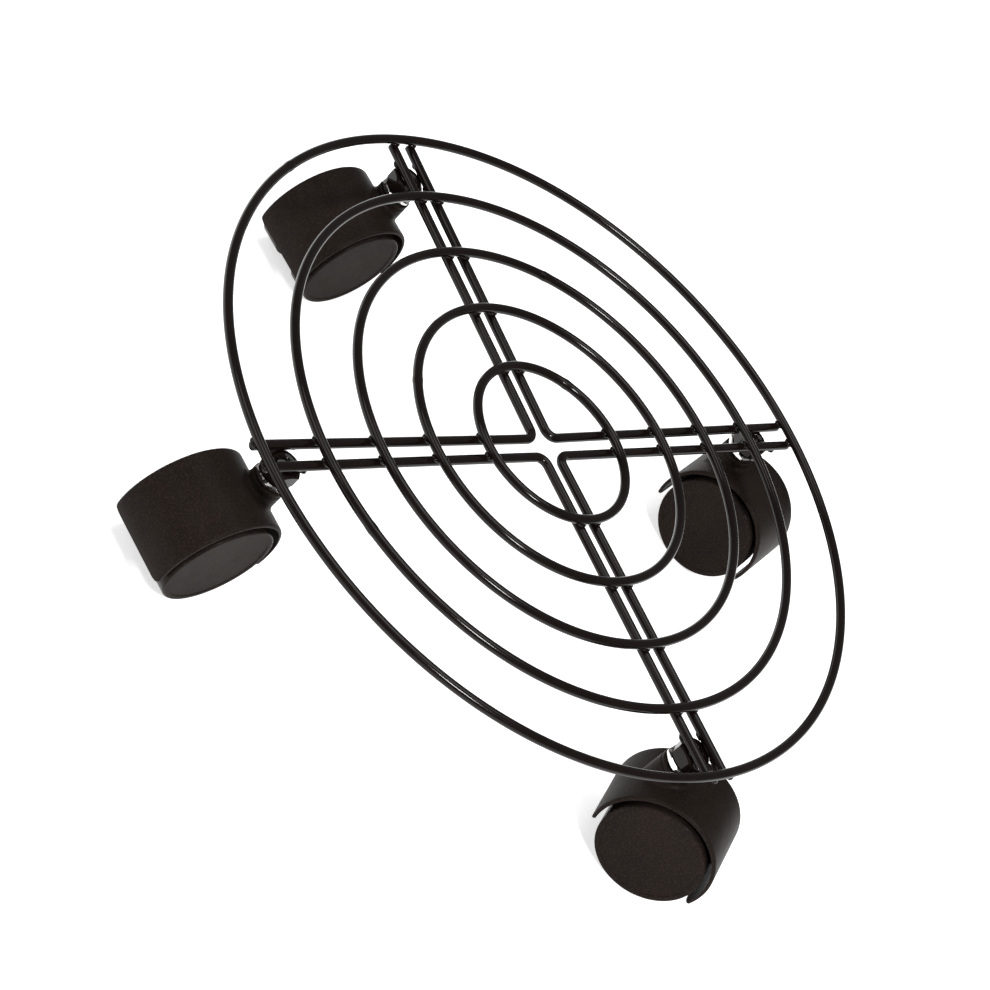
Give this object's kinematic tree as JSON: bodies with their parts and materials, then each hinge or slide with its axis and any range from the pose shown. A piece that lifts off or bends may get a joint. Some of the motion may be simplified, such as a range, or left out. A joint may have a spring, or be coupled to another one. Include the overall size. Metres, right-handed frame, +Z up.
{
  "type": "plant pot caddy",
  "caption": "Round wire plant caddy: concentric rings welded over a cross of bent wires, rolling on swivelling hooded casters; a pot stands on its flat top.",
  "frame": {"origin": "on the floor, directly under the common centre of the rings", "axes": "+Z up; the arms of the cross lie close to X and Y, leaning by up to 1.4 degrees"},
  "size_m": [0.3457, 0.3356, 0.0698],
  "materials": {
    "wire_coating": "satin warm black powder coat",
    "zinc": "bright zinc plating",
    "spring_steel": "plain spring steel",
    "black_nylon": "fine-textured moulded nylon",
    "wheel_plastic": "fine-textured moulded plastic",
    "washer_plastic": "plain moulded plastic"
  },
  "bodies": {
    "frame": {"ring_1": "wire_coating", "ring_2": "wire_coating", "ring_3": "wire_coating", "ring_4": "wire_coating", "ring_5": "wire_coating", "cross_wire_1": "wire_coating", "cross_wire_2": "wire_coating", "cross_wire_3": "wire_coating", "cross_wire_4": "wire_coating", "weld_nut_1": "wire_coating", "weld_nut_2": "wire_coating", "weld_nut_3": "wire_coating", "weld_nut_4": "wire_coating", "stem_1": "zinc", "stem_2": "zinc", "stem_3": "zinc", "stem_4": "zinc"},
    "caster_1": {"hood_1": "black_nylon", "swivel_washer_1": "washer_plastic", "grip_ring_1": "spring_steel", "axle_1": "zinc"},
    "caster_2": {"hood_2": "black_nylon", "swivel_washer_2": "washer_plastic", "grip_ring_2": "spring_steel", "axle_2": "zinc"},
    "caster_3": {"hood_3": "black_nylon", "swivel_washer_3": "washer_plastic", "grip_ring_3": "spring_steel", "axle_3": "zinc"},
    "caster_4": {"hood_4": "black_nylon", "swivel_washer_4": "washer_plastic", "grip_ring_4": "spring_steel", "axle_4": "zinc"},
    "wheel_1_left": {"wheel_1_left": "wheel_plastic"},
    "wheel_1_right": {"wheel_1_right": "wheel_plastic"},
    "wheel_2_left": {"wheel_2_left": "wheel_plastic"},
    "wheel_2_right": {"wheel_2_right": "wheel_plastic"},
    "wheel_3_left": {"wheel_3_left": "wheel_plastic"},
    "wheel_3_right": {"wheel_3_right": "wheel_plastic"},
    "wheel_4_left": {"wheel_4_left": "wheel_plastic"},
    "wheel_4_right": {"wheel_4_right": "wheel_plastic"}
  },
  "joints": [
    {"name": "swivel_1", "type": "hinge", "parent": "frame", "child": "caster_1", "pos_m": [0.1352, 0.0013, 0.045], "axis": [0, 0, 1], "continuous": true},
    {"name": "swivel_2", "type": "hinge", "parent": "frame", "child": "caster_2", "pos_m": [0.002, 0.1354, 0.045], "axis": [0, 0, 1], "continuous": true},
    {"name": "swivel_3", "type": "hinge", "parent": "frame", "child": "caster_3", "pos_m": [-0.136, 0, 0.045], "axis": [0, 0, 1], "continuous": true},
    {"name": "swivel_4", "type": "hinge", "parent": "frame", "child": "caster_4", "pos_m": [0.0017, -0.137, 0.045], "axis": [0, 0, 1], "continuous": true},
    {"name": "spin_1_left", "type": "hinge", "parent": "caster_1", "child": "wheel_1_left", "pos_m": [0.14085, -0.01388, 0.0225], "axis": [0.9373, 0.3486, 0], "continuous": true},
    {"name": "spin_1_right", "type": "hinge", "parent": "caster_1", "child": "wheel_1_right", "pos_m": [0.14085, -0.01388, 0.0225], "axis": [0.9373, 0.3486, 0], "continuous": true},
    {"name": "spin_2_left", "type": "hinge", "parent": "caster_2", "child": "wheel_2_left", "pos_m": [-0.0141, 0.13357, 0.0225], "axis": [0.1132, -0.9936, 0], "continuous": true},
    {"name": "spin_2_right", "type": "hinge", "parent": "caster_2", "child": "wheel_2_right", "pos_m": [-0.0141, 0.13357, 0.0225], "axis": [0.1132, -0.9936, 0], "continuous": true},
    {"name": "spin_3_left", "type": "hinge", "parent": "caster_3", "child": "wheel_3_left", "pos_m": [-0.15214, -0.00138, 0.0225], "axis": [0.0854, -0.9963, 0], "continuous": true},
    {"name": "spin_3_right", "type": "hinge", "parent": "caster_3", "child": "wheel_3_right", "pos_m": [-0.15214, -0.00138, 0.0225], "axis": [0.0854, -0.9963, 0], "continuous": true},
    {"name": "spin_4_left", "type": "hinge", "parent": "caster_4", "child": "wheel_4_left", "pos_m": [0.01045, -0.15063, 0.0225], "axis": [0.8415, 0.5402, 0], "continuous": true},
    {"name": "spin_4_right", "type": "hinge", "parent": "caster_4", "child": "wheel_4_right", "pos_m": [0.01045, -0.15063, 0.0225], "axis": [0.8415, 0.5402, 0], "continuous": true}
  ]
}
